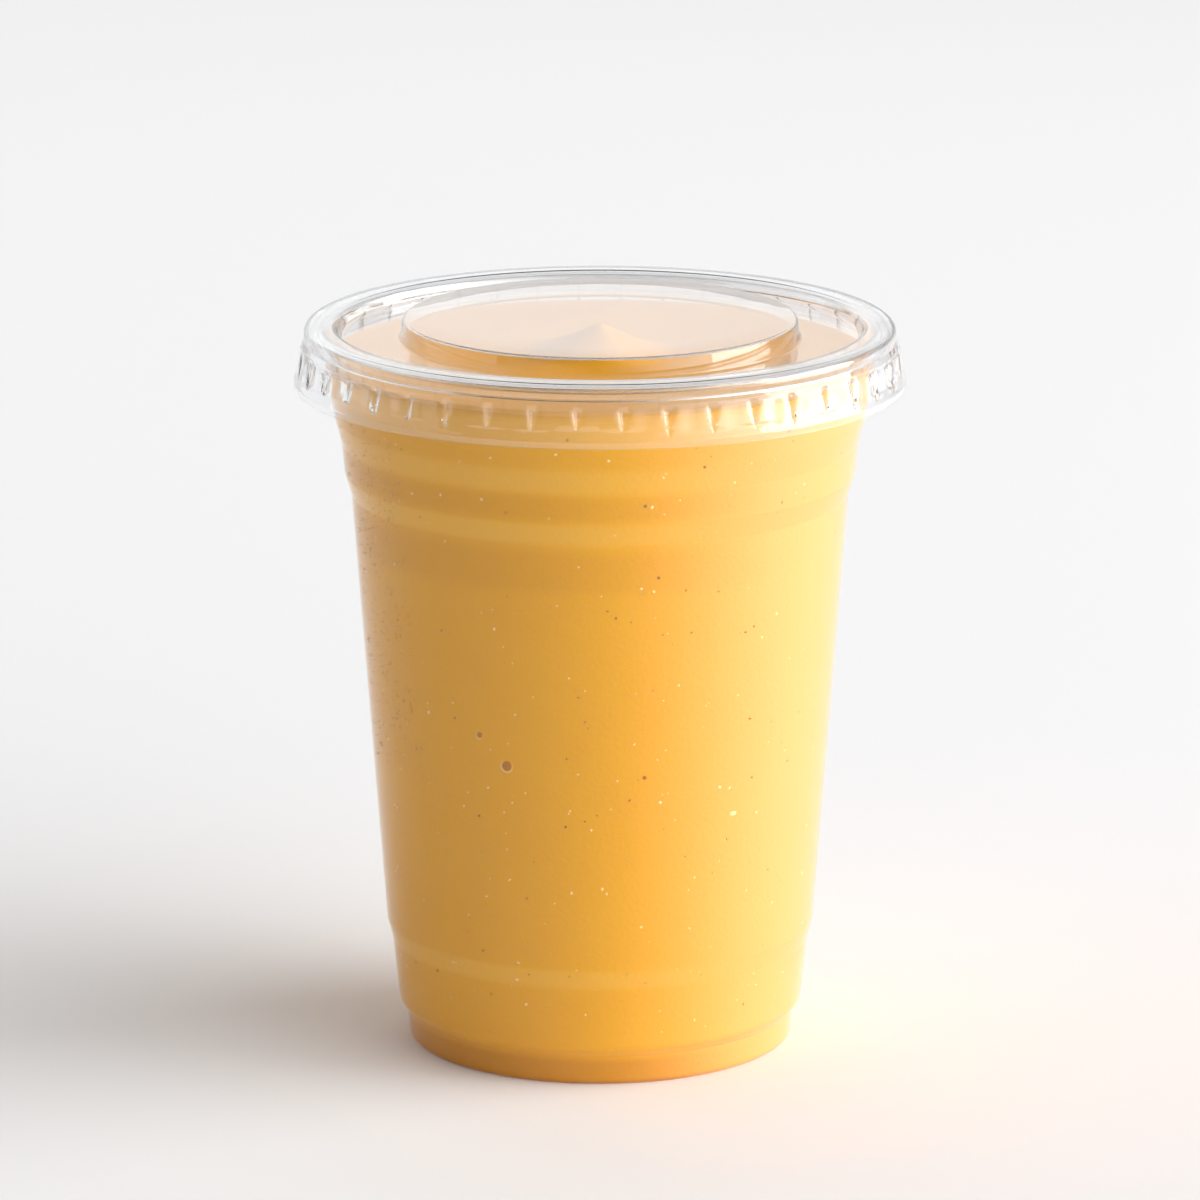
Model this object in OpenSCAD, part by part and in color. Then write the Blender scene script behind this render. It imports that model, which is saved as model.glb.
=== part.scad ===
// Mango smoothie in a clear take-away cup with a flat clear lid.
// Millimetres. The cup stands on z = 0 and its axis is +Z.

/* [Cup] */
// Diameter of the rolled rim
rim_d = 95; // [94:0.5:97]
// Height of the cup to the top of its rim
cup_h = 120; // [119:0.5:124]
// Diameter of the foot that the cup stands on
foot_d = 64; // [62:0.5:65]
// Thickness of the thermoformed wall
wall = 0.4; // [0.3:0.05:0.5]
// Radius of the rolled rim's bead
bead_r = 1.5; // [1.3:0.1:1.6]
// Height of the recess under the base
push_up = 3.1; // [1.5:0.1:4]

/* [Smoothie] */
// Height at which the drink meets the wall
contact_z = 111.7; // [109:0.1:112]
// Height of the drink's flat field, inside its rounded shoulder
field_z = 115; // [114:0.1:115.2]
// Height of the soft peak in the middle
peak_z = 120.3; // [116:0.1:120.6]
// Radius of the peak's skirt
peak_r = 13; // [8:0.5:18]

/* [Lid] */
// Diameter of the skirt's open edge
skirt_d = 100; // [99:0.5:102]
// Thickness of the lid's film
film = 0.35; // [0.3:0.05:0.4]
// Radius of the raised disc
disc_r = 32.3; // [26:0.1:38]
// Number of crimps round the skirt
crimps = 42; // [24:1:60]

/* [Hidden] */
$fn = 180;

rim_r = rim_d / 2;
foot_r = foot_d / 2;
skirt_r = skirt_d / 2;
bore_r = rim_r - 2 * bead_r;       // inside of the cup at its rim
flat_a = 70;                       // where the bead's flat top starts, degrees
fillet_steps = 4;                  // chords in each rounded corner

// Heights of the cup's bands
foot_h = 4.95;                     // foot, up to the notch under the heel
heel_h = 6.4;
stack_lo = 17.1;                   // lower step
stack_hi = 20.3;
band_lo = 92.5;                    // upper two steps
band_hi = 96.1;
brow_lo = 101.2;
brow_hi = 105.4;

// Heights of the lid, from the top down
land_z = cup_h + film;             // land that lies on the rim
disc_z = land_z + 1;               // raised disc
floor_z = land_z - 2.4;            // floor between disc and land
groove_z = land_z - 2.3;           // fine groove under the land
crimp_top = land_z - 4.3;
crimp_end = land_z - 7.8;
skirt_z = land_z - 10;             // open edge of the skirt
land_r = rim_r + 1;                // outside of the land
crimp_depth = 0.7;

swirl_n = 60;                      // facets round the drink's soft top
swirl_rings = 14;
swirl_r = 40;                      // radius where the folds fade out
swirl_sink = 0.8;                  // how far the folded cap reaches into the drink

// Points of an arc round c, from angle a to angle b
function arc(c, r, a, b, n) = [for (i = [0:n]) let (t = a + (b - a) * i / n)
    c + r * [cos(t), sin(t)]];

function unit(v) = v / norm(v);
function left(v) = [-v[1], v[0]];
function reversed(list) = [for (i = [len(list) - 1:-1:0]) list[i]];

// The corner at p between a and b, rounded to radius r
function corner(a, p, b, r) =
    let (u = unit(a - p), w = unit(b - p), half = acos(u * w) / 2,
         reach = r / tan(half), c = p + unit(u + w) * r / sin(half),
         from = p + u * reach - c, to = p + w * reach - c,
         a0 = atan2(from[1], from[0]), d = atan2(to[1], to[0]) - a0,
         turn = d > 180 ? d - 360 : d < -180 ? d + 360 : d)
    arc(c, r, a0, a0 + turn, fillet_steps);

// A path of [r, z, corner radius] points, with its corners rounded
function rounded(path) = [for (i = [0:len(path) - 1])
    let (p = [path[i][0], path[i][1]])
    each (path[i][2] == 0 ? [p]
        : corner([path[i - 1][0], path[i - 1][1]], p,
                 [path[i + 1][0], path[i + 1][1]], path[i][2]))];

// The same path moved t to its left, for the other face of a wall
function beside(path, t) = [for (i = [0:len(path) - 1])
    let (last = len(path) - 1,
         d1 = unit(path[max(i, 1)] - path[max(i, 1) - 1]),
         d2 = unit(path[min(i, last - 1) + 1] - path[min(i, last - 1)]),
         n1 = left(d1), n2 = left(d2))
    path[i] + t * (n1 + n2) / (1 + n1 * n2)];

// Outer face of the cup, from the middle of its base to the rim
cup_outer = rounded([
    [0, push_up, 0],
    [foot_r - 4.4, push_up, 1.2],
    [foot_r - 3.3, 0, 0.5],
    [foot_r - 0.3, 0, 1.2],
    [foot_r + 0.05, foot_h, 0.3],
    [foot_r + 1.35, heel_h, 2.5],
    [foot_r + 2.5, stack_lo, 1.2],
    [foot_r + 3.35, stack_hi, 1.4],
    [foot_r + 8.8, band_lo, 1.6],
    [foot_r + 9.9, band_hi, 1.4],
    [foot_r + 10.4, brow_lo, 1.6],
    [foot_r + 11.5, brow_hi, 1.6],
    [bore_r + wall, cup_h - 6.2, 6],
    [bore_r + wall, cup_h - bead_r, 0]]);
cup_inner = beside(cup_outer, wall);

// Radius of the inner face at height z, found from point i upwards
function bore_at(z, i = 0) = cup_inner[i + 1][1] > z && cup_inner[i][0] > foot_r
    ? cup_inner[i][0] + (cup_inner[i + 1][0] - cup_inner[i][0])
        * (z - cup_inner[i][1]) / (cup_inner[i + 1][1] - cup_inner[i][1])
    : bore_at(z, i + 1);

// Outline of the drink: the inner face up to the contact, then its shoulder
contact = [bore_at(contact_z), contact_z];
shoulder = [contact[0] - 0.7, field_z];
drink_outline = concat([for (p = cup_inner) if (p[1] < contact_z) p], [contact],
    corner(contact, shoulder, [0, field_z], 2.5), [[0, field_z]]);

// Top face of the lid, from the middle out to the skirt's edge
lid_top = rounded([
    [0, disc_z, 0],
    [disc_r, disc_z, 0.6],
    [disc_r + 0.35, floor_z, 0.45],
    [bore_r - 1.9, floor_z, 0.7],
    [bore_r - 1.5, land_z, 1.2],
    [land_r, land_z, 1.2],
    [land_r - 0.2, groove_z, 0.25],
    [land_r + 0.3, groove_z - 0.9, 0.5],
    [land_r + 0.4, crimp_top, 1],
    [land_r + 0.8, crimp_end + 0.6, 2],
    [skirt_r, skirt_z + 1.1, 0.6],
    [skirt_r, skirt_z, 0]]);

// Height of the drink's soft top: a peak, with folds that run out from it
function swirl_z(r, a) =
    let (peak = (peak_z - field_z) * pow(1 - min(r / peak_r, 1), 1.5),
         fade = sin(180 * min(r / swirl_r, 1)),
         folds = 0.25 * sin(3 * a + 4 * r) + 0.15 * cos(5 * a - 3 * r))
    field_z + peak + fade * (0.4 + folds);

module swirl() {
    rings = [for (j = [1:swirl_rings]) swirl_r * pow(j / swirl_rings, 1.25)];
    turns = [for (k = [0:swirl_n - 1]) 360 * k / swirl_n];
    top = [for (r = rings, a = turns)
        [r * cos(a), r * sin(a), r == swirl_r ? field_z - 0.1 : swirl_z(r, a)]];
    under = [for (a = turns)
        [swirl_r * cos(a), swirl_r * sin(a), field_z - swirl_sink]];
    edge = len(top) - swirl_n;
    tip = len(top) + swirl_n;
    polyhedron(
        points = concat(top, under, [[0, 0, peak_z]]),
        faces = concat(
            [for (k = [0:swirl_n - 1]) [tip, (k + 1) % swirl_n, k]],
            [for (j = [0:swirl_rings - 2], k = [0:swirl_n - 1])
                let (m = (k + 1) % swirl_n, b = j * swirl_n, c = b + swirl_n)
                each [[b + k, b + m, c + m], [b + k, c + m, c + k]]],
            [for (k = [0:swirl_n - 1]) let (m = (k + 1) % swirl_n)
                [edge + k, edge + m, len(top) + m, len(top) + k]],
            [[for (k = [0:swirl_n - 1]) len(top) + k]]));
}

// The bead, with a narrow flat on top for the lid to lie on
module rolled_rim() {
    rotate_extrude()
        polygon(arc([rim_r - bead_r, cup_h - bead_r * sin(flat_a)], bead_r,
                    180 - flat_a, 360 + flat_a, 20));
}

module cup() {
    color([0.93, 0.95, 0.96, 0.35]) {
        rotate_extrude()
            polygon(concat(cup_outer, reversed(cup_inner)));
        rolled_rim();
    }
}

module smoothie() {
    color([0.93, 0.66, 0.20]) {
        rotate_extrude()
            polygon(drink_outline);
        swirl();
    }
}

// A tapered rib inside the skirt, which snaps under the cup's rim
module crimp() {
    top_w = 1.3;
    end_w = 0.3;
    translate([land_r + 0.2 - crimp_depth, 0, 0])
        rotate([90, 0, 90])
            linear_extrude(crimp_depth)
                polygon([[-end_w / 2, crimp_end], [end_w / 2, crimp_end],
                         [top_w / 2, crimp_top], [-top_w / 2, crimp_top]]);
}

module lid() {
    color([0.90, 0.93, 0.95, 0.35]) {
        rotate_extrude()
            polygon(concat(lid_top, reversed(beside(lid_top, -film))));
        for (k = [0:crimps - 1])
            rotate([0, 0, 360 * k / crimps])
                crimp();
    }
}

cup();
smoothie();
lid();
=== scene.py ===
"""Mango smoothie in a clear take-away cup with a flat clear lid: the looks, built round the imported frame.

Every sub-assembly is a class. Its fields are its sizes in millimetres, its build method models the
mesh with bmesh operators, and its dress method gives the mesh its finish.
"""

import logging
import math
import random
from dataclasses import dataclass, field
from enum import Enum
from typing import Any

import bmesh
import bpy
from mathutils import Matrix, Vector


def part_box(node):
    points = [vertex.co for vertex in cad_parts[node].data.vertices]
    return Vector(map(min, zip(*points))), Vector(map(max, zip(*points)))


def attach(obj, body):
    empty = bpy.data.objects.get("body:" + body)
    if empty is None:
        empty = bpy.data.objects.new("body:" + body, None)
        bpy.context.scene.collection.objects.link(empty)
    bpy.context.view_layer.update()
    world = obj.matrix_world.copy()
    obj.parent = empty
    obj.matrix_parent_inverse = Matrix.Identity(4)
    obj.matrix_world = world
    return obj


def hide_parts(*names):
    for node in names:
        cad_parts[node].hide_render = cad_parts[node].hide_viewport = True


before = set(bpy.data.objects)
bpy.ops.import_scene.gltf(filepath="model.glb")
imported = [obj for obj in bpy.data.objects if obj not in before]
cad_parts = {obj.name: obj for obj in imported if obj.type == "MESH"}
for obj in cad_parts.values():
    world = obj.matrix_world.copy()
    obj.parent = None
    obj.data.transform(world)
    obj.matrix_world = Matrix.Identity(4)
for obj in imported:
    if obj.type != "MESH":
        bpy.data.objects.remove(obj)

LOG = logging.getLogger("mango_smoothie")
MM = 0.001
FULL_TURN = 2 * math.pi
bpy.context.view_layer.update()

Colour = tuple[float, float, float, float]
NodeLinks = dict[str | int, bpy.types.NodeSocket]


class Slot(Enum):
    """The material slots of the part."""

    CUP = "clear_cup"
    DRINK = "mango_smoothie"
    LID = "clear_lid"


def linear(hex_code: str, alpha: float = 1.0) -> Colour:
    """Turn an sRGB hex colour into linear values.

    Args:
        hex_code: Six hex digits, with or without a leading hash.
        alpha: The fourth value.

    Returns:
        Linear red, green and blue, and alpha.
    """
    digits = hex_code.lstrip("#")
    parts = [int(digits[i:i + 2], 16) / 255 for i in (0, 2, 4)]
    red, green, blue = (c / 12.92 if c <= 0.04045 else ((c + 0.055) / 1.055) ** 2.4 for c in parts)
    return red, green, blue, alpha


def add_node(tree: bpy.types.NodeTree, kind: str, settings: dict[str, Any] | None = None,
             links: NodeLinks | None = None, **attributes: Any) -> bpy.types.Node:
    """Add one node with its values and its links.

    Args:
        tree: The node tree that the node joins.
        kind: The node's type name.
        settings: Values for the node's inputs, by name or index.
        links: Output sockets that feed the node's inputs, by name or index.
        **attributes: Properties of the node itself, such as its operation.

    Returns:
        The new node.
    """
    node = tree.nodes.new(kind)
    for name, value in attributes.items():
        setattr(node, name, value)
    for name, value in (settings or {}).items():
        node.inputs[name].default_value = value
    for name, socket in (links or {}).items():
        tree.links.new(socket, node.inputs[name])
    return node


def new_material(name: str) -> tuple[bpy.types.Material, bpy.types.NodeTree, bpy.types.Node]:
    """Make an empty node material with an output.

    Args:
        name: The material's name.

    Returns:
        The material, its tree and its output node.
    """
    material = bpy.data.materials.new(name)
    material.use_nodes = True
    tree = material.node_tree
    tree.nodes.clear()
    return material, tree, add_node(tree, "ShaderNodeOutputMaterial")


def smoothstep(low: float, high: float, value: float) -> float:
    """Ease from 0 at low to 1 at high.

    Args:
        low: Where the ease starts.
        high: Where it ends.
        value: Where it is read.

    Returns:
        A number from 0 to 1.
    """
    t = min(max((value - low) / (high - low), 0.0), 1.0)
    return t * t * (3 - 2 * t)


# --------------------------------------------------------------------------------------------
# Turned shapes
# --------------------------------------------------------------------------------------------

@dataclass(frozen=True)
class Corner:
    """A corner of a turned outline: its radius from the axis, its height and its fillet, in mm."""

    r: float
    z: float
    fillet: float = 0.0


class Turned:
    """A shape of revolution about +Z, made from a few corners."""

    fillet_segments = 6

    @staticmethod
    def fillet_reach(before: Vector, at: Vector, after: Vector, radius: float) -> float:
        """Find how far along its edges a fillet reaches.

        Args:
            before: The corner before.
            at: The corner that is rounded.
            after: The corner after.
            radius: The fillet's radius.

        Returns:
            The distance from the corner to where the arc starts.
        """
        half = (before - at).angle(after - at) / 2
        return radius / math.tan(half)

    @classmethod
    def outline(cls, bm: bmesh.types.BMesh, corners: list[Corner], longest: float) -> None:
        """Draw a rounded outline in the XZ plane.

        Args:
            bm: The mesh that takes the outline.
            corners: The outline's corners, from its first point to its last.
            longest: Edges longer than this are divided.
        """
        verts = [bm.verts.new((c.r, 0, c.z)) for c in corners]
        for a, b in zip(verts, verts[1:]):
            bm.edges.new((a, b))
        places = [v.co.copy() for v in verts]
        for i, corner in enumerate(corners):
            if corner.fillet:
                reach = cls.fillet_reach(places[i - 1], places[i], places[i + 1], corner.fillet)
                bmesh.ops.bevel(bm, geom=[verts[i]], offset=reach, offset_type="OFFSET",
                                segments=cls.fillet_segments, profile=0.5, affect="VERTICES",
                                material=-1, clamp_overlap=False)
        for edge in list(bm.edges):
            cuts = math.ceil(edge.calc_length() / longest) - 1
            if cuts > 0:
                bmesh.ops.subdivide_edges(bm, edges=[edge], cuts=cuts)

    @staticmethod
    def spin(bm: bmesh.types.BMesh, steps: int, out_z: float) -> None:
        """Turn the outline once round the axis, close its poles and point its faces outwards.

        Args:
            bm: The mesh that holds the outline.
            steps: How many steps the full turn has.
            out_z: A height at which the faces have to point away from the axis.
        """
        bmesh.ops.spin(bm, geom=bm.verts[:] + bm.edges[:], cent=(0, 0, 0), axis=(0, 0, 1),
                       angle=FULL_TURN, steps=steps, use_merge=True, use_duplicate=False)
        bmesh.ops.remove_doubles(bm, verts=bm.verts, dist=1e-4)
        bmesh.ops.dissolve_degenerate(bm, edges=bm.edges, dist=1e-5)
        bmesh.ops.recalc_face_normals(bm, faces=bm.faces)
        side = min(bm.faces, key=lambda face: abs(face.calc_center_median().z - out_z))
        away = side.calc_center_median()
        if side.normal.dot(Vector((away.x, away.y, 0))) < 0:
            bmesh.ops.reverse_faces(bm, faces=bm.faces)

    @staticmethod
    def finish(bm: bmesh.types.BMesh, name: str, sharp_deg: float = 50) -> bpy.types.Object:
        """Turn a mesh in millimetres into an object in metres, with its hard edges marked.

        Args:
            bm: The finished mesh, in millimetres. It is freed.
            name: The piece's name.
            sharp_deg: Edges with a sharper turn than this are shaded hard.

        Returns:
            The new object, at the origin.
        """
        for face in bm.faces:
            face.smooth = True
        for edge in bm.edges:
            edge.smooth = not (edge.is_manifold and edge.calc_face_angle(0) > math.radians(sharp_deg))
        bmesh.ops.scale(bm, vec=(MM, MM, MM), verts=bm.verts)
        mesh = bpy.data.meshes.new(name)
        bm.to_mesh(mesh)
        bm.free()
        piece = bpy.data.objects.new(name, mesh)
        bpy.context.scene.collection.objects.link(piece)
        return piece


# --------------------------------------------------------------------------------------------
# Finishes
# --------------------------------------------------------------------------------------------

@dataclass(frozen=True)
class ThermoformedPet:
    """Clear PET film, drawn into a mould: glossy both sides, a trace of waviness, IOR 1.57.

    Light and soft bounces pass it as through clear film, and a little white haze can veil it.
    """

    name: str
    tone: str = "fdfeff"
    wave_mm: float = 9.0
    wave_height_mm: float = 0.02
    roughness: float = 0.02
    ior: float = 1.57
    passed: float = 0.97
    haze: float = 0.0
    haze_mm: tuple[float, float] = (118.2, 118.8)
    top_haze: float = 0.0
    top_mm: tuple[float, float] = (120.9, 121.2)

    def material(self) -> bpy.types.Material:
        """Make the node material.

        Returns:
            The material, with its nodes linked.
        """
        material, tree, output = new_material(self.name)
        place = add_node(tree, "ShaderNodeTexCoord")
        wave = add_node(tree, "ShaderNodeTexNoise", {"Scale": 1 / (self.wave_mm * MM), "Detail": 1.0},
                        {"Vector": place.outputs["Object"]})
        bump = add_node(tree, "ShaderNodeBump", {"Strength": 1.0, "Distance": self.wave_height_mm * MM},
                        {"Height": wave.outputs["Fac"]})
        shader = add_node(tree, "ShaderNodeBsdfPrincipled",
                          {"Base Color": linear(self.tone), "Roughness": self.roughness, "IOR": self.ior,
                           "Transmission Weight": 1.0}, {"Normal": bump.outputs["Normal"]})
        if self.haze:
            split = add_node(tree, "ShaderNodeSeparateXYZ", links={"Vector": place.outputs["Object"]})
            low = add_node(tree, "ShaderNodeMapRange",
                           {"From Min": self.haze_mm[0] * MM, "From Max": self.haze_mm[1] * MM,
                            "To Min": 1 - self.haze, "To Max": 1.0}, {"Value": split.outputs["Z"]})
            top = add_node(tree, "ShaderNodeMapRange",
                           {"From Min": self.top_mm[0] * MM, "From Max": self.top_mm[1] * MM,
                            "To Min": 0.0, "To Max": self.top_haze}, {"Value": split.outputs["Z"]})
            clarity = add_node(tree, "ShaderNodeMath", None,
                               {0: low.outputs["Result"], 1: top.outputs["Result"]}, operation="SUBTRACT")
            tree.links.new(clarity.outputs["Value"], shader.inputs["Transmission Weight"])
        ray = add_node(tree, "ShaderNodeLightPath")
        soft = add_node(tree, "ShaderNodeMath", None,
                        {0: ray.outputs["Is Shadow Ray"], 1: ray.outputs["Is Diffuse Ray"]},
                        operation="MAXIMUM")
        clear = add_node(tree, "ShaderNodeBsdfTransparent", {"Color": (*[self.passed] * 3, 1)})
        film = add_node(tree, "ShaderNodeMixShader", None,
                        {0: soft.outputs["Value"], 1: shader.outputs["BSDF"], 2: clear.outputs["BSDF"]})
        tree.links.new(film.outputs["Shader"], output.inputs["Surface"])
        return material


@dataclass(frozen=True)
class ShadingBand:
    """A band of the drink painted lighter or darker as painted light and shade, between two heights in mm.
    """

    low: float
    high: float
    tone: str


@dataclass(frozen=True)
class BlendedMango:
    """Thick blended mango: an opaque, wet puree, warm on the left and paler towards the lit right side as a
    painted highlight, with painted light and shade in bands at the steps, foot and skirt, and a deeper top
    darkened as painted shade under the lid.
    """

    name: str = "blended_mango_puree"
    tone: str = "edaa0a"
    deep_tone: str = "eba306"
    # Painted highlight: the tone pales towards +X, the side the key light falls on.
    lit_side_highlight_tone: str = "efa85e"
    lit_side_highlight_mm: tuple[float, float] = (0.0, 34.0)
    # A deeper tone on the drink's top, set darker as painted shade under the lid.
    deep_top_and_shade_tone: str = "eca204"
    deep_top_and_shade_mm: tuple[float, float] = (113.0, 115.0)
    # Painted light and shade: lighter bands of painted highlight on the step slopes and under the skirt,
    # darker bands of painted shade between the steps and at the foot.
    painted_shading_bands: tuple[ShadingBand, ...] = (ShadingBand(-1.5, 5.0, "d38c08"), ShadingBand(16.9, 20.5, "f0b02c"),
                               ShadingBand(84.0, 91.8, "e6a005"), ShadingBand(92.3, 96.3, "f0b02c"),
                               ShadingBand(96.5, 100.9, "e6a004"), ShadingBand(101.0, 105.6, "f0b02c"),
                               ShadingBand(109.3, 115.3, "fbb52a"))
    mottle_mm: float = 11.0
    grain_mm: float = 0.8
    grain_height_mm: float = 0.05
    roughness: float = 0.38
    ior: float = 1.38
    specular: float = 0.2

    def paint_shading(self, tree: bpy.types.NodeTree, split: bpy.types.Node,
               base: bpy.types.Node) -> bpy.types.NodeSocket:
        """Paint light and shade into the tone in bands at the cup's steps, foot and skirt.

        Args:
            tree: The material's nodes.
            split: The node that gives the height.
            base: The node that gives the plain tone.

        Returns:
            The tone with its painted light and shade.
        """
        tone = base.outputs["Result"]
        for band in self.painted_shading_bands:
            middle, half = (band.low + band.high) / 2 * MM, (band.high - band.low) / 2 * MM
            off = add_node(tree, "ShaderNodeMath", {1: middle}, {0: split.outputs["Z"]},
                           operation="SUBTRACT")
            away = add_node(tree, "ShaderNodeMath", None, {0: off.outputs["Value"]}, operation="ABSOLUTE")
            near = add_node(tree, "ShaderNodeMapRange", {"From Min": half * 1.2, "From Max": half * 0.55},
                            {"Value": away.outputs["Value"]}, interpolation_type="SMOOTHSTEP")
            mixed = add_node(tree, "ShaderNodeMix", {"B": linear(band.tone)},
                             {"Factor": near.outputs["Result"], "A": tone}, data_type="RGBA")
            tone = mixed.outputs["Result"]
        return tone

    def material(self) -> bpy.types.Material:
        """Make the node material.

        Returns:
            The material, with its nodes linked.
        """
        material, tree, output = new_material(self.name)
        place = add_node(tree, "ShaderNodeTexCoord")
        point = place.outputs["Object"]
        mottle = add_node(tree, "ShaderNodeTexNoise",
                          {"Scale": 1 / (self.mottle_mm * MM), "Detail": 3.0, "Roughness": 0.55},
                          {"Vector": point})
        base = add_node(tree, "ShaderNodeMix", {"A": linear(self.deep_tone), "B": linear(self.tone)},
                        {"Factor": mottle.outputs["Fac"]}, data_type="RGBA")
        split = add_node(tree, "ShaderNodeSeparateXYZ", links={"Vector": point})
        # Painted highlight: blend towards the pale tone on the lit right side.
        painted_highlight_factor = add_node(tree, "ShaderNodeMapRange",
                          {"From Min": self.lit_side_highlight_mm[0] * MM, "From Max": self.lit_side_highlight_mm[1] * MM},
                          {"Value": split.outputs["X"]}, interpolation_type="SMOOTHSTEP")
        blend = add_node(tree, "ShaderNodeMix", {"B": linear(self.lit_side_highlight_tone)},
                         {"Factor": painted_highlight_factor.outputs["Result"], "A": self.paint_shading(tree, split, base)},
                         data_type="RGBA")
        # Deeper top tone, darkened as painted shade under the lid.
        high = add_node(tree, "ShaderNodeMapRange",
                        {"From Min": self.deep_top_and_shade_mm[0] * MM, "From Max": self.deep_top_and_shade_mm[1] * MM},
                        {"Value": split.outputs["Z"]}, interpolation_type="SMOOTHSTEP")
        tone = add_node(tree, "ShaderNodeMix", {"B": linear(self.deep_top_and_shade_tone)},
                        {"Factor": high.outputs["Result"], "A": blend.outputs["Result"]}, data_type="RGBA")
        grain = add_node(tree, "ShaderNodeTexNoise", {"Scale": 1 / (self.grain_mm * MM), "Detail": 2.0},
                         {"Vector": point})
        bump = add_node(tree, "ShaderNodeBump", {"Strength": 1.0, "Distance": self.grain_height_mm * MM},
                        {"Height": grain.outputs["Fac"]})
        shader = add_node(tree, "ShaderNodeBsdfPrincipled",
                          {"Roughness": self.roughness, "IOR": self.ior,
                           "Specular IOR Level": self.specular},
                          {"Base Color": tone.outputs["Result"], "Normal": bump.outputs["Normal"]})
        tree.links.new(shader.outputs["BSDF"], output.inputs["Surface"])
        return material


@dataclass(frozen=True)
class WetSpeck:
    """One kind of speck in the puree, plain, wet and opaque, or a bead of clear water outside."""

    name: str
    tone: str
    roughness: float = 0.35
    ior: float = 1.38
    clear: float = 0.0

    def material(self) -> bpy.types.Material:
        """Make the node material.

        Returns:
            The material, with its nodes linked.
        """
        material, tree, output = new_material(self.name)
        shader = add_node(tree, "ShaderNodeBsdfPrincipled",
                          {"Base Color": linear(self.tone), "Roughness": self.roughness, "IOR": self.ior,
                           "Specular IOR Level": 0.5 if self.clear else 0.2,
                           "Transmission Weight": self.clear})
        tree.links.new(shader.outputs["BSDF"], output.inputs["Surface"])
        return material


@dataclass(frozen=True)
class StudioPaper:
    """Matt white background paper."""

    name: str = "matt_studio_paper"
    tone: str = "f8f8f9"
    roughness: float = 0.8

    def material(self) -> bpy.types.Material:
        """Make the node material.

        Returns:
            The material, with its nodes linked.
        """
        material, tree, output = new_material(self.name)
        shader = add_node(tree, "ShaderNodeBsdfPrincipled",
                          {"Base Color": linear(self.tone), "Roughness": self.roughness})
        tree.links.new(shader.outputs["BSDF"], output.inputs["Surface"])
        return material


# --------------------------------------------------------------------------------------------
# The cup
# --------------------------------------------------------------------------------------------

@dataclass
class Cup:
    """The clear cup: one thin turned shell with a foot, a heel, three steps and a rolled rim."""

    wall: float = 0.4
    bead_r: float = 1.5
    push_up: float = 3.1
    foot_h: float = 4.95
    heel_h: float = 6.4
    stack: tuple[float, float] = (17.1, 20.3)
    band: tuple[float, float] = (92.5, 96.1)
    brow: tuple[float, float] = (101.2, 105.4)
    foot_r: float = 32.0
    steps: int = 256
    curl_deg: float = 235.0
    curl_turns: int = 16
    height: float = field(init=False)
    rim_r: float = field(init=False)

    def __post_init__(self) -> None:
        """Take the overall sizes from the frame."""
        low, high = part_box("cup")
        self.height = high[2] / MM
        self.rim_r = (high[0] - low[0]) / 2 / MM

    @property
    def bore_r(self) -> float:
        """Inside radius at the rim."""
        return self.rim_r - 2 * self.bead_r

    def corners(self) -> list[Corner]:
        """List the corners of the outer face, from the middle of the base to the top of the wall.

        Returns:
            The corners, in order.
        """
        foot = self.foot_r
        return [
            Corner(0, self.push_up),
            Corner(foot - 4.4, self.push_up, 1.2),
            Corner(foot - 3.3, 0, 0.5),
            Corner(foot - 0.3, 0, 1.2),
            Corner(foot + 0.05, self.foot_h, 0.3),
            Corner(foot + 1.35, self.heel_h, 2.5),
            Corner(foot + 2.5, self.stack[0], 1.2),
            Corner(foot + 3.35, self.stack[1], 1.4),
            Corner(foot + 8.8, self.band[0], 1.6),
            Corner(foot + 9.9, self.band[1], 1.4),
            Corner(foot + 10.4, self.brow[0], 1.6),
            Corner(foot + 11.5, self.brow[1], 1.6),
            Corner(self.bore_r + self.wall, self.height - 6.2, 6),
        ]

    def wall_at(self, z: float) -> float:
        """Find the radius of the outer face above the foot.

        Args:
            z: Height above the table.

        Returns:
            The radius, in mm, with the corners taken as sharp.
        """
        points = self.corners()[4:]
        for low, high in zip(points, points[1:]):
            if z <= high.z:
                break
        return low.r + (high.r - low.r) * (z - low.z) / (high.z - low.z)

    def build(self) -> bpy.types.Object:
        """Model the shell.

        Returns:
            The cup as one closed mesh.
        """
        bm = bmesh.new()
        bead = Vector((self.rim_r - self.bead_r, 0, self.height - self.bead_r))
        curl = [Corner(self.bore_r + self.wall, bead.z)]
        roll = self.bead_r - self.wall
        for i in range(1, self.curl_turns + 1):
            angle = math.pi - math.radians(self.curl_deg) * i / self.curl_turns
            curl.append(Corner(bead.x + roll * math.cos(angle), bead.z + roll * math.sin(angle)))
        Turned.outline(bm, self.corners() + curl, longest=4.0)
        Turned.spin(bm, self.steps, out_z=self.height / 2)
        bmesh.ops.solidify(bm, geom=bm.faces[:], thickness=self.wall)
        return Turned.finish(bm, "cup_shell")

    def dress(self, piece: bpy.types.Object) -> None:
        """Give the shell its clear PET.

        Args:
            piece: The cup's shell.
        """
        piece.data.materials.append(ThermoformedPet("clear_thermoformed_PET_cup").material())


# --------------------------------------------------------------------------------------------
# The drink
# --------------------------------------------------------------------------------------------

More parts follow.
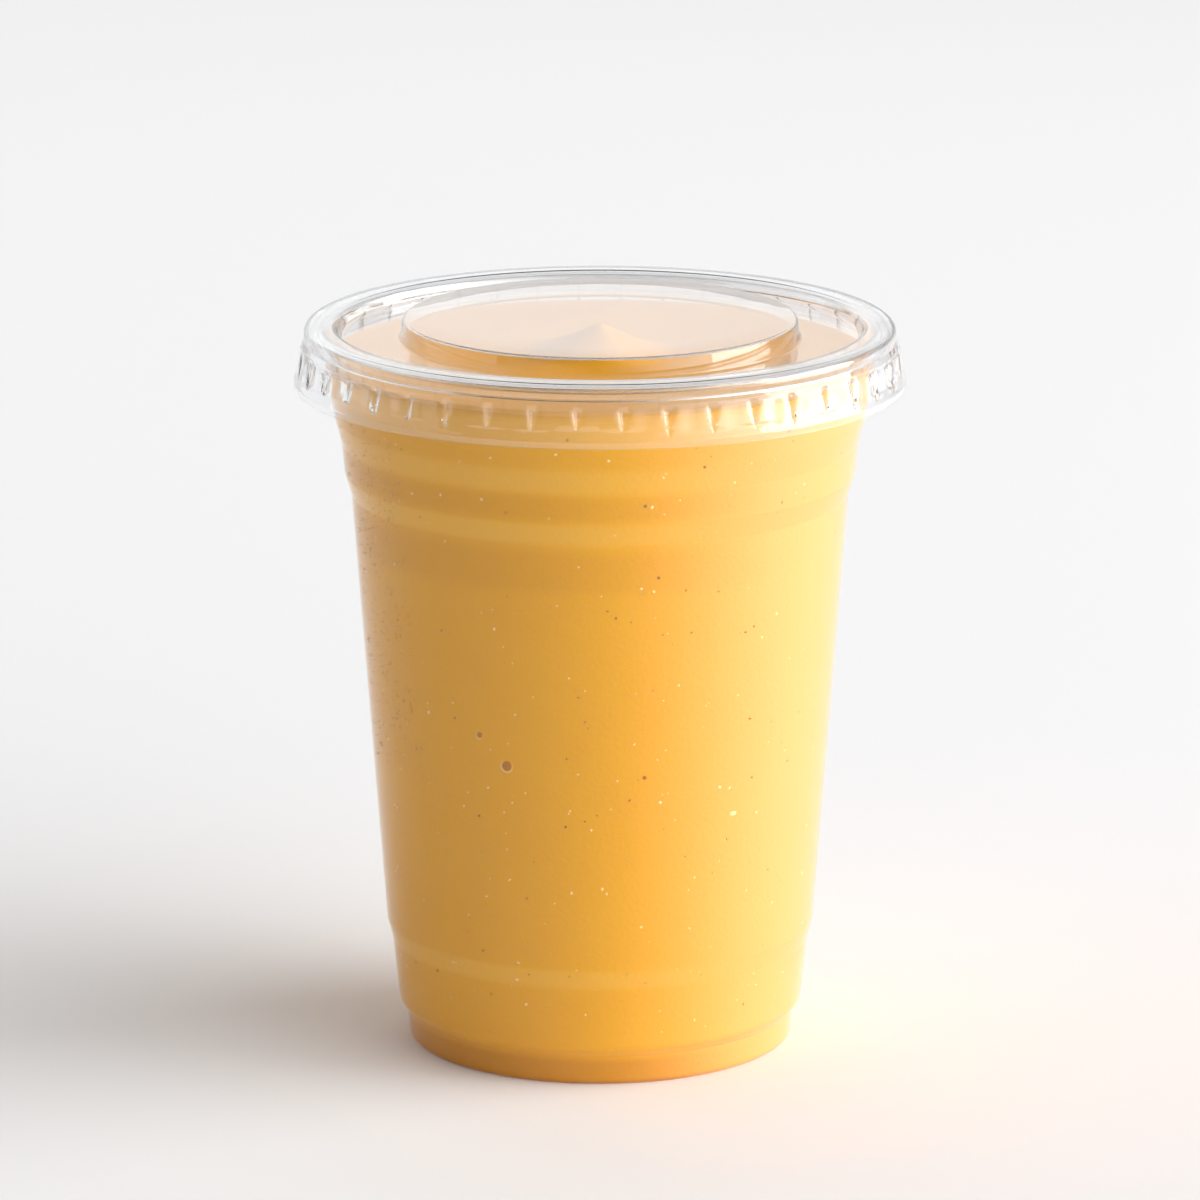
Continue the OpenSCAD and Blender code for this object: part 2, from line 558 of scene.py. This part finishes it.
@dataclass
class Smoothie:
    """The drink: fills the cup, with a rounded shoulder and a soft folded top."""

    cup: Cup
    reach: float = 0.12
    contact_z: float = 114.5
    field_z: float = 115.0
    peak_z: float = 120.3
    peak_r: float = 13.0
    swirl_r: float = 40.0
    steps: int = 288

    def corners(self) -> list[Corner]:
        """List the corners of the drink, from the middle of its base round to the middle of its top.

        Returns:
            The corners, in order.
        """
        inset = self.cup.wall - self.reach
        cup = self.cup
        foot = cup.foot_r
        return [
            Corner(0, cup.push_up + inset),
            Corner(foot - 4.4 + 0.2, cup.push_up + inset, 1.2),
            Corner(foot - 3.3 + 0.2, inset, 0.5),
            Corner(foot - 0.3 - inset, inset, 1.0),
            Corner(foot + 0.05 - inset, cup.foot_h, 0.3),
            Corner(foot + 1.35 - inset, cup.heel_h + 0.15, 2.3),
            Corner(foot + 2.5 - inset, cup.stack[0], 1.4),
            Corner(foot + 3.35 - inset, cup.stack[1], 1.2),
            Corner(foot + 8.8 - inset, cup.band[0], 1.8),
            Corner(foot + 9.9 - inset, cup.band[1], 1.2),
            Corner(foot + 10.4 - inset, cup.brow[0], 1.8),
            Corner(foot + 11.5 - inset, cup.brow[1], 1.4),
            Corner(cup.bore_r + self.reach, cup.height - 6.2, 6),
            Corner(cup.bore_r + self.reach, self.contact_z),
            Corner(cup.bore_r - 0.9, self.field_z, 0.8),
            Corner(0, self.field_z),
        ]

    def swirl(self, r: float, turn: float) -> float:
        """Find how far the soft top stands over the field.

        Args:
            r: Distance from the axis.
            turn: Angle round the axis, in radians.

        Returns:
            The height over the field, in mm.
        """
        peak = (self.peak_z - self.field_z) * (1 - min(r / self.peak_r, 1)) ** 1.5
        fade = math.sin(math.pi * min(r / self.swirl_r, 1))
        folds = (0.25 * math.sin(3 * turn + math.radians(4) * r)
                 + 0.15 * math.cos(5 * turn - math.radians(3) * r))
        return peak + fade * (0.4 + folds)

    def build(self) -> bpy.types.Object:
        """Model the drink.

        Returns:
            The drink as one closed mesh.
        """
        bm = bmesh.new()
        Turned.outline(bm, self.corners(), longest=1.2)
        Turned.spin(bm, self.steps, out_z=self.contact_z / 2)
        for vert in bm.verts:
            r = math.hypot(vert.co.x, vert.co.y)
            if vert.co.z > self.field_z - 0.01 and r < self.swirl_r:
                vert.co.z += self.swirl(r, math.atan2(vert.co.y, vert.co.x))
        return Turned.finish(bm, "smoothie_body")

    def dress(self, piece: bpy.types.Object) -> None:
        """Give the drink its puree.

        Args:
            piece: The drink's body.
        """
        piece.data.materials.append(BlendedMango().material())


@dataclass(frozen=True)
class Spot:
    """A place on the wall: degrees from the front towards the right, height and diameter in mm."""

    turn: float
    z: float
    across: float
    along: float = 1.0


@dataclass
class Specks:
    """Small flat things pressed against the wall, all of one kind and at their true size."""

    cup: Cup
    name: str
    finish: WetSpeck
    count: int
    across: tuple[float, float]
    along: tuple[float, float]
    height: tuple[float, float] = (8.0, 112.0)
    turns: tuple[float, float] = (-180.0, 180.0)
    thickness: float = 0.16
    sink: float = 0.27
    detail: int = 2
    seed: int = 1
    placed: tuple[Spot, ...] = ()
    slot: Slot = Slot.DRINK

    def spots(self) -> list[Spot]:
        """List the placed spots and the strewn ones.

        Returns:
            The spots, the placed ones first.
        """
        rng = random.Random(self.seed)
        strewn = []
        for _ in range(self.count):
            low, high = self.across
            strewn.append(Spot(rng.uniform(*self.turns), rng.uniform(*self.height),
                               low + (high - low) * rng.random() ** 2.5, rng.uniform(*self.along)))
        return list(self.placed) + strewn

    def build(self) -> bpy.types.Object:
        """Model every speck as a flattened ball that lies on the drink's face.

        Returns:
            The specks as one mesh.
        """
        rng = random.Random(self.seed + 100)
        bm = bmesh.new()
        for spot in self.spots():
            turn = math.radians(spot.turn)
            out = Vector((math.sin(turn), -math.cos(turn), 0))
            middle = out * (self.cup.wall_at(spot.z) - self.sink) + Vector((0, 0, spot.z))
            size = Vector((spot.across / 2, self.thickness / 2, spot.across / 2 * spot.along))
            place = (Matrix.Translation(middle) @ Matrix.Rotation(turn, 4, "Z")
                     @ Matrix.Rotation(rng.uniform(0, math.pi), 4, "Y") @ Matrix.Diagonal(size.to_4d()))
            bmesh.ops.create_icosphere(bm, subdivisions=self.detail, radius=1, matrix=place)
        return Turned.finish(bm, self.name)

    def dress(self, piece: bpy.types.Object) -> None:
        """Give the specks their tone.

        Args:
            piece: The specks.
        """
        piece.data.materials.append(self.finish.material())


# --------------------------------------------------------------------------------------------
# The lid
# --------------------------------------------------------------------------------------------

@dataclass
class Lid:
    """The flat clear lid: raised disc, floor, land on the rim, and a crimped, flared skirt."""

    cup: Cup
    film: float = 0.35
    disc_r: float = 32.3
    crimps: int = 42
    disc_rise: float = 1.0
    floor_drop: float = 2.4
    groove_drop: float = 2.3
    skirt_drop: float = 10.0
    crimp_drop: tuple[float, float] = (4.3, 7.8)
    crimp_depth: float = 0.8
    crimp_top_w: float = 1.9
    crimp_end_w: float = 0.3
    points_per_crimp: int = 12
    crowding: float = 0.115
    bulge: float = 0.22
    seed: int = 7
    skirt_r: float = field(init=False)
    land_z: float = field(init=False)

    def __post_init__(self) -> None:
        """Take the overall sizes from the frame."""
        low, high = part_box("lid")
        self.skirt_r = (high[0] - low[0]) / 2 / MM
        self.land_z = self.cup.height + self.film

    @property
    def crimp_z(self) -> tuple[float, float]:
        """Lower and upper end of the crimps."""
        return self.land_z - self.crimp_drop[1], self.land_z - self.crimp_drop[0]

    def corners(self) -> list[Corner]:
        """List the corners of the lid's top face, from its middle out to the skirt's edge.

        Returns:
            The corners, in order.
        """
        bore = self.cup.bore_r
        land = self.cup.rim_r + 1
        floor = self.land_z - self.floor_drop
        groove = self.land_z - self.groove_drop
        edge = self.land_z - self.skirt_drop
        return [
            Corner(0, self.land_z + self.disc_rise),
            Corner(self.disc_r, self.land_z + self.disc_rise, 0.6),
            Corner(self.disc_r + 0.35, floor, 0.45),
            Corner(bore - 1.9, floor, 0.7),
            Corner(bore - 1.5, self.land_z, 1.2),
            Corner(land, self.land_z, 1.2),
            Corner(land - 0.2, groove, 0.25),
            Corner(land + 0.3, groove - 0.9, 0.5),
            Corner(land + 0.4, self.crimp_z[1], 1),
            Corner(land + 0.8, self.crimp_z[0] + 0.6, 2),
            Corner(self.skirt_r, edge + 1.1, 0.6),
            Corner(self.skirt_r, edge),
        ]

    def crowd(self, bm: bmesh.types.BMesh) -> None:
        """Draw the columns of vertices together at each crimp.

        Args:
            bm: The spun lid.
        """
        pitch = FULL_TURN / self.crimps
        for vert in bm.verts:
            r = math.hypot(vert.co.x, vert.co.y)
            if r > self.disc_r + 3:
                turn = math.atan2(vert.co.y, vert.co.x) / pitch
                turn = (turn - self.crowding * math.sin(FULL_TURN * turn)) * pitch
                vert.co.x, vert.co.y = r * math.cos(turn), r * math.sin(turn)

    def press(self, bm: bmesh.types.BMesh) -> None:
        """Press the crimps into the skirt, each a little unlike the others.

        Args:
            bm: The spun lid.
        """
        rng = random.Random(self.seed)
        low, high = self.crimp_z
        pitch = FULL_TURN / self.crimps
        depths = [self.crimp_depth * rng.uniform(0.8, 1.0) for _ in range(self.crimps)]
        ends = [low + rng.uniform(-0.3, 0.6) for _ in range(self.crimps)]
        for vert in bm.verts:
            r = math.hypot(vert.co.x, vert.co.y)
            if r < self.cup.rim_r or vert.co.z > high + 0.8:
                continue
            turn = math.atan2(vert.co.y, vert.co.x) / pitch
            index = round(turn)
            across = abs(turn - index) * pitch * r
            down = (high - vert.co.z) / (high - ends[index % self.crimps])
            width = self.crimp_top_w + (self.crimp_end_w - self.crimp_top_w) * min(max(down, 0), 1)
            fade = smoothstep(-0.22, 0.02, down) * (1 - smoothstep(0.85, 1.05, down))
            groove = max(0.0, 1 - across / (width / 2)) * fade
            panel = self.bulge * fade * math.cos(math.pi * (turn - index)) ** 0.5
            moved = r - depths[index % self.crimps] * groove + panel * (1 - groove)
            vert.co.x *= moved / r
            vert.co.y *= moved / r

    def build(self) -> bpy.types.Object:
        """Model the shell.

        Returns:
            The lid as one closed mesh.
        """
        bm = bmesh.new()
        Turned.outline(bm, self.corners(), longest=7.0)
        skirt = [e for e in bm.edges if max(v.co.z for v in e.verts) < self.crimp_z[1] + 2
                 and e.calc_length() > 0.9]
        bmesh.ops.subdivide_edges(bm, edges=skirt, cuts=3)
        Turned.spin(bm, self.crimps * self.points_per_crimp, out_z=self.land_z - 9)
        self.crowd(bm)
        self.press(bm)
        bmesh.ops.solidify(bm, geom=bm.faces[:], thickness=self.film)
        return Turned.finish(bm, "lid_shell")

    def dress(self, piece: bpy.types.Object) -> None:
        """Give the shell its clear PET.

        Args:
            piece: The lid's shell.
        """
        pet = ThermoformedPet("clear_thermoformed_PET_lid", passed=0.975, haze=0.035, top_haze=0.16)
        piece.data.materials.append(pet.material())


# --------------------------------------------------------------------------------------------
# The studio
# --------------------------------------------------------------------------------------------

def compass(azimuth: float, elevation: float, reach: float) -> tuple[float, float, float]:
    """Find a place round the object.

    Args:
        azimuth: Degrees from the right towards the front.
        elevation: Degrees above the floor.
        reach: Distance in metres.

    Returns:
        The place, in metres.
    """
    turn, rise = math.radians(azimuth), math.radians(elevation)
    return (reach * math.cos(turn) * math.cos(rise), -reach * math.sin(turn) * math.cos(rise),
            reach * math.sin(rise))


@dataclass(frozen=True)
class Softbox:
    """An area light: its place, what it points at, its size in metres, its power and its tint."""

    name: str
    place: tuple[float, float, float]
    size: tuple[float, float]
    power: float
    tint: str = "ffffff"

    def build(self, aim: Vector) -> None:
        """Hang the light.

        Args:
            aim: The point that it faces.
        """
        light = bpy.data.lights.new(self.name, "AREA")
        light.shape = "RECTANGLE"
        light.size, light.size_y = self.size
        light.energy = self.power
        light.color = linear(self.tint)[:3]
        holder = bpy.data.objects.new(self.name, light)
        holder.location = self.place
        holder.rotation_euler = (aim - Vector(self.place)).to_track_quat("-Z", "Y").to_euler()
        bpy.context.scene.collection.objects.link(holder)


@dataclass(frozen=True)
class Lobe:
    """A soft glow of the room: which way it lies, how tight it is, how bright, and how bright in gloss."""

    azimuth: float
    elevation: float
    power: float
    strength: float
    in_gloss: float = 1.0

    @property
    def way(self) -> tuple[float, float, float]:
        """Unit vector towards the glow."""
        return compass(self.azimuth, self.elevation, 1.0)


@dataclass
class Studio:
    """White paper, soft light and a long lens."""

    aim_z: float = 73.74
    distance: float = 1317.8
    pitch_deg: float = 13.8
    lens_mm: float = 240.0
    floor_m: float = 6.0
    light_aim_z: float = 60.0
    lobes: tuple[Lobe, ...] = (Lobe(19, 0, 3.7, 7.1, in_gloss=0.45), Lobe(-90, 0, 4, 0.44),
                               Lobe(-135, 0, 4, 0.75), Lobe(0, 90, 4, 0.17))

    def camera(self) -> None:
        """Place the camera on its long lens."""
        data = bpy.data.cameras.new("long_lens")
        data.lens = self.lens_mm
        data.sensor_width = 36
        data.clip_start, data.clip_end = 0.05, 50
        camera = bpy.data.objects.new("camera", data)
        pitch = math.radians(self.pitch_deg)
        back = Vector((0, -math.cos(pitch), math.sin(pitch)))
        camera.location = Vector((0, 0, self.aim_z * MM)) + back * self.distance * MM
        camera.rotation_euler = (-back).to_track_quat("-Z", "Y").to_euler()
        bpy.context.scene.collection.objects.link(camera)
        bpy.context.scene.camera = camera

    def floor(self) -> None:
        """Lay the paper."""
        bm = bmesh.new()
        bmesh.ops.create_grid(bm, x_segments=1, y_segments=1, size=self.floor_m)
        mesh = bpy.data.meshes.new("floor")
        bm.to_mesh(mesh)
        bm.free()
        floor = bpy.data.objects.new("floor", mesh)
        floor.data.materials.append(StudioPaper().material())
        bpy.context.scene.collection.objects.link(floor)

    def world(self) -> None:
        """Light the room with a few soft glows."""
        world = bpy.data.worlds.new("soft_room")
        world.use_nodes = True
        tree = world.node_tree
        tree.nodes.clear()
        place = add_node(tree, "ShaderNodeTexCoord")
        ray = add_node(tree, "ShaderNodeLightPath")
        glow = None
        for lobe in self.lobes:
            facing = add_node(tree, "ShaderNodeVectorMath", {1: lobe.way},
                              {0: place.outputs["Generated"]}, operation="DOT_PRODUCT")
            lit = add_node(tree, "ShaderNodeMath", {1: 0.0}, {0: facing.outputs["Value"]},
                           operation="MAXIMUM")
            soft = add_node(tree, "ShaderNodeMath", {1: lobe.power}, {0: lit.outputs["Value"]},
                            operation="POWER")
            level = add_node(tree, "ShaderNodeMapRange",
                             {"To Min": lobe.strength, "To Max": lobe.strength * lobe.in_gloss},
                             {"Value": ray.outputs["Is Glossy Ray"]})
            term = add_node(tree, "ShaderNodeMath", None,
                            {0: soft.outputs["Value"], 1: level.outputs["Result"]}, operation="MULTIPLY")
            if glow is not None:
                term = add_node(tree, "ShaderNodeMath", None,
                                {0: term.outputs["Value"], 1: glow.outputs["Value"]}, operation="ADD")
            glow = term
        shade = add_node(tree, "ShaderNodeBackground", {"Color": linear("ffffff")},
                         {"Strength": glow.outputs["Value"]})
        add_node(tree, "ShaderNodeOutputWorld", links={"Surface": shade.outputs["Background"]})
        bpy.context.scene.world = world

    def build(self) -> None:
        """Set up the floor, the light and the camera."""
        self.floor()
        self.world()
        aim = Vector((0, 0, self.light_aim_z * MM))
        for box in (
            Softbox("key_right", compass(0, 15, 1.3), (1.1, 1.1), 12.8),
            Softbox("left_fill", compass(180, 30, 1.3), (1.5, 1.5), 4.0),
            Softbox("back_fill", compass(-90, 45, 1.3), (1.5, 1.5), 3.6),
        ):
            box.build(aim)
        self.camera()
        scene = bpy.context.scene
        scene.view_settings.view_transform = "Standard"
        scene.cycles.use_denoising = True
        scene.cycles.max_bounces = 16
        scene.cycles.diffuse_bounces = 6
        scene.cycles.transmission_bounces = 12
        scene.cycles.glossy_bounces = 6


def specks(cup: Cup) -> tuple[Specks, ...]:
    """List the kinds of specks that show through the wall.

    Args:
        cup: The cup that they lie against.

    Returns:
        One maker for each kind.
    """
    # Two air bubbles at the wall, each drawn as a darker disc of painted shade inside a paler ring of
    # painted highlight.
    bubbles = (Spot(-23.4, 54.7, 1.85), Spot(-30.6, 59.4, 1.1))
    rims = tuple(Spot(b.turn - 0.15, b.z - 0.1, b.across * 1.22) for b in bubbles)
    return (
        Specks(cup, "pale_pulp_flecks", WetSpeck("pale_mango_pulp", "fad693"), 460, (0.28, 0.7),
               (0.35, 1.0), seed=3,
               placed=(Spot(35.5, 45.6, 1.35, 0.6), Spot(31.0, 50.5, 0.6), Spot(15.0, 49.0, 0.6))),
        # Small air bubbles at the wall, drawn as dark dots of painted shade.
        Specks(cup, "shaded_bubble_dots", WetSpeck("shaded_small_bubble", "ab6a1c"), 380, (0.22, 0.55), (0.5, 1.0),
               seed=8, placed=(Spot(11.0, 53.4, 0.7), Spot(9.9, 99.3, 0.6), Spot(13.5, 87.0, 0.55))),
        # Paler rings of painted highlight round the bubbles.
        Specks(cup, "bubble_rim_highlights", WetSpeck("bubble_rim_painted_highlight", "f3bd62"), 0, (1, 1), (1, 1),
               thickness=0.2, detail=3, placed=rims),
        Specks(cup, "air_bubbles", WetSpeck("shaded_air_bubble", "c07a20"), 0, (1, 1), (1, 1),
               thickness=0.3, detail=3, placed=bubbles),
        Specks(cup, "condensation_beads", WetSpeck("clear_water_bead", "ffffff", 0.0, 1.333, 1.0), 420,
               (0.25, 0.7), (0.5, 1.0), height=(50.0, 108.0), turns=(-78.0, -50.0),
               thickness=0.26, sink=-0.05, seed=21, slot=Slot.CUP),
    )


def main() -> None:
    """Build the object, then the studio."""
    logging.basicConfig(level=logging.INFO, format="%(name)s: %(message)s")
    cup = Cup()
    for maker, node, slot in ((cup, "cup", Slot.CUP),
                              (Smoothie(cup), "smoothie", Slot.DRINK),
                              (Lid(cup), "lid", Slot.LID)):
        piece = maker.build()
        maker.dress(piece)
        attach(piece, "root")
        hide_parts(node)
        LOG.info("%s: %d faces, stands for %s", piece.name, len(piece.data.polygons), node)
    for maker in specks(cup):
        piece = maker.build()
        maker.dress(piece)
        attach(piece, "root")
        LOG.info("%s: %d faces", piece.name, len(piece.data.polygons))
    Studio().build()


if __name__ == "__main__":
    main()
